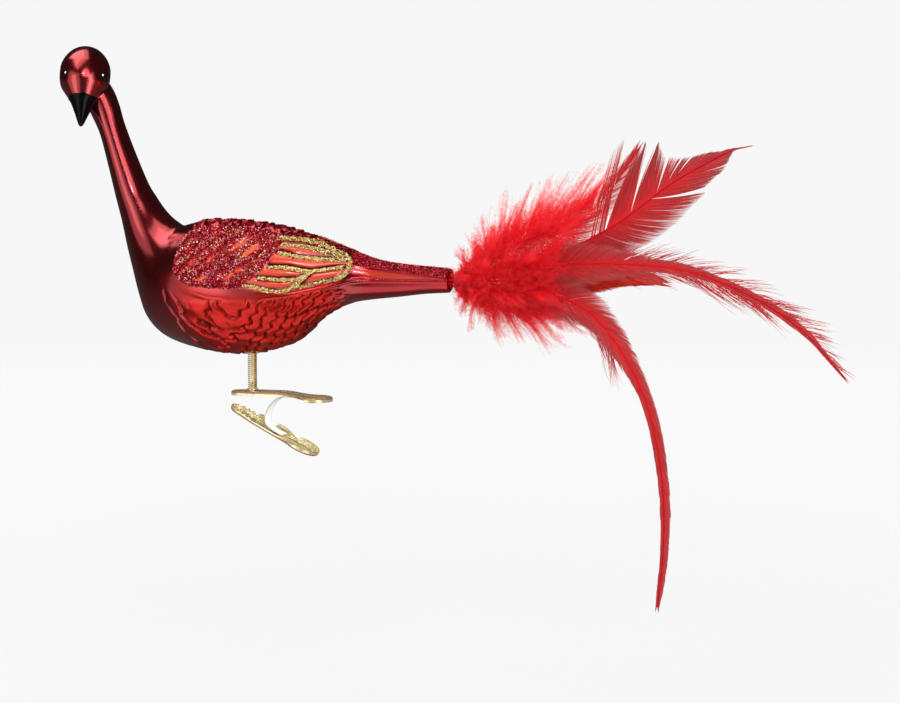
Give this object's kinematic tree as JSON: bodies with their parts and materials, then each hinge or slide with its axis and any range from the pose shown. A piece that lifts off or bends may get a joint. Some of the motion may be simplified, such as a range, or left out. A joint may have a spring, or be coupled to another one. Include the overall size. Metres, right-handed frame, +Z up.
{
  "type": "clip-on glass bird ornament",
  "caption": "Long-necked blown-glass bird ornament with a feather and marabou tail, standing on a coil spring above a sprung clip that grips a branch.",
  "frame": {"origin": "the point between the clip's jaws where a branch is gripped", "axes": "+X from the bird's head to its tail, +Y away from the side that the bird looks to, +Z up along the stem"},
  "size_m": [0.2877, 0.0512, 0.1908],
  "materials": {
    "red_glass": "gloss",
    "glue": "satin",
    "gilt_wire": "gloss",
    "gilt_sheet": "gloss",
    "spring_steel": "gloss",
    "cork": "matte",
    "thread": "matte",
    "feather": "satin",
    "fluff": "matte"
  },
  "bodies": {
    "clip_upper": {"clip_upper_lever": "gilt_sheet", "stem_rivet": "gilt_sheet", "clip_leaf_spring": "spring_steel"},
    "clip_lower": {"clip_lower_lever": "gilt_sheet"},
    "stem": {"stem_spring": "gilt_wire"},
    "bird": {"glass_bird": "red_glass", "belly_glue": "glue", "tail_plug": "cork", "quill_binding": "thread", "feather_upper": "feather", "feather_drooping": "feather", "feather_hanging": "feather", "feather_middle": "feather", "feather_upper_short": "feather", "marabou_plume_1": "fluff", "marabou_plume_2": "fluff", "marabou_plume_3": "fluff", "marabou_plume_4": "fluff", "marabou_plume_5": "fluff", "marabou_plume_6": "fluff", "marabou_plume_7": "fluff", "marabou_plume_8": "fluff", "marabou_plume_9": "fluff"}
  },
  "joints": [
    {"name": "clip_jaw", "type": "hinge", "parent": "clip_upper", "child": "clip_lower", "pos_m": [0.0092, 0, -0.0036], "axis": [0, -1, 0], "range_deg": [0, 26], "stiffness_Nm_per_rad": 0.03, "springref_deg": -22.92, "deforming": ["clip_leaf_spring"]},
    {"name": "stem_pitch", "type": "hinge", "parent": "clip_upper", "child": "stem", "pos_m": [0.003, 0, 0.008], "axis": [0, 1, 0], "range_deg": [-12, 12], "stiffness_Nm_per_rad": 0.5, "deforming": ["stem_spring"]},
    {"name": "stem_roll", "type": "hinge", "parent": "stem", "child": "bird", "pos_m": [0.003, 0, 0.0145], "axis": [1, 0, 0], "range_deg": [-12, 12], "stiffness_Nm_per_rad": 0.5, "deforming": ["stem_spring"]}
  ]
}
